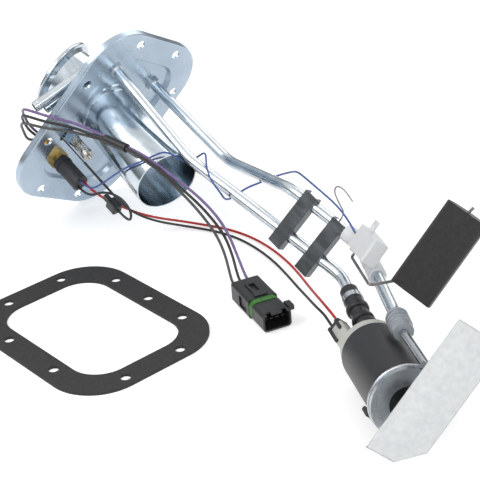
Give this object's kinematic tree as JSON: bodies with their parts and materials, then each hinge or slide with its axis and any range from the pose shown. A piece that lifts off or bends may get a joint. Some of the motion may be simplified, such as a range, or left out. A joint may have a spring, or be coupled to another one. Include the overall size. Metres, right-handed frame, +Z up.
{
  "type": "fuel pump module",
  "caption": "In-tank fuel pump module: oval sealing flange with filler tube, fuel tubes, pump with strainer, float level sender, wiring connector and a loose flange gasket.",
  "frame": {"origin": "centre of the base of the box around the module and its gasket, on the floor they lie on", "axes": "+X from the flange towards the strainer, +Z up from the floor, as in the picture"},
  "size_m": [0.5508, 0.2992, 0.1792],
  "materials": {
    "flange": "bluish bright zinc",
    "filler": "bluish bright zinc, polished",
    "tubes": "bluish bright zinc, satin",
    "bracket": "satin grey steel",
    "dome": "pale blue, satin",
    "vent_metal": "satin",
    "strip": "dark grey, satin",
    "brass": "satin",
    "boot": "matte",
    "potting": "matte",
    "case": "satin",
    "sleeve": "matte",
    "cap": "cream, satin",
    "terminals": "bright",
    "magnets": "matte",
    "rotor": "satin",
    "plug": "black, satin",
    "lock": "blue, satin",
    "hose": "black, satin",
    "coupling": "pale blue-grey, satin",
    "sock": "pale grey quilted mesh",
    "sock_neck": "satin",
    "sender": "translucent white",
    "card": "ceramic, matte",
    "hub": "satin",
    "arm": "bright wire",
    "float": "black foam, matte",
    "gasket": "dark grey, matte",
    "purple": "purple insulation",
    "black_wire": "black insulation",
    "grey_wire": "grey insulation",
    "red_wire": "red insulation",
    "blue_wire": "blue insulation",
    "wrap": "black sleeve",
    "connector": "black, satin",
    "seal": "green, satin"
  },
  "bodies": {
    "module": {"flange_plate": "flange", "filler_tube": "filler", "neck_collar": "filler", "supply_tube": "tubes", "return_tube": "tubes", "supply_ferrule": "tubes", "return_ferrule": "tubes", "upper_channel": "bracket", "lower_channel": "bracket", "pump_cradle": "bracket", "hose_clamps": "bracket", "pump_strap": "bracket", "vent_cap": "dome", "vent_base": "vent_metal", "vent_cage": "vent_metal", "vent_spring": "vent_metal", "vent_strip": "strip", "pass_bushing": "brass", "pass_nut": "brass", "pass_boot": "boot", "pass_core": "potting", "pump_case": "case", "pump_sleeve": "sleeve", "pump_cap": "cap", "pump_inlet_cover": "cap", "pump_bearing_plate": "cap", "pump_terminals": "terminals", "pump_magnets": "magnets", "pump_plug": "plug", "filter_block": "plug", "plug_lock": "lock", "pump_hose": "hose", "return_coupling": "coupling", "strainer_sock": "sock", "strainer_neck": "sock_neck", "sender_housing": "sender", "sender_card": "card", "harness_purple": "purple", "harness_black": "black_wire", "pump_lead_black": "black_wire", "filter_lead": "black_wire", "harness_grey": "grey_wire", "tie_wire": "grey_wire", "pump_lead_red": "red_wire", "sender_lead_blue": "blue_wire", "harness_sleeve": "wrap", "connector_body": "connector", "connector_shroud": "connector", "connector_seal": "seal"},
    "arm": {"sender_hub": "hub", "float_arm": "arm", "float": "float"},
    "plunger": {"vent_plunger": "vent_metal"},
    "rotor": {"pump_rotor": "rotor"},
    "gasket": {"gasket": "gasket"}
  },
  "joints": [
    {"name": "float_swing", "type": "hinge", "parent": "module", "child": "arm", "pos_m": [0.09363, 0.06225, 0.06376], "axis": [0.23, 0.6121, 0.7566], "range_deg": [-60, 15]},
    {"name": "vent_slide", "type": "slide", "parent": "module", "child": "plunger", "axis": [0.9069, 0, -0.4214], "range_m": [0, 0.0025], "stiffness_N_per_m": 400, "springref_m": -0.003, "deforming": ["vent_spring"]},
    {"name": "rotor_spin", "type": "hinge", "parent": "module", "child": "rotor", "pos_m": [0.15604, 0.01835, 0.02366], "axis": [0.8643, -0.4857, 0.1303], "continuous": true},
    {"name": "gasket_lift", "type": "slide", "parent": "module", "child": "gasket", "axis": [0, 0, 1], "range_m": [0, 0.1]}
  ]
}
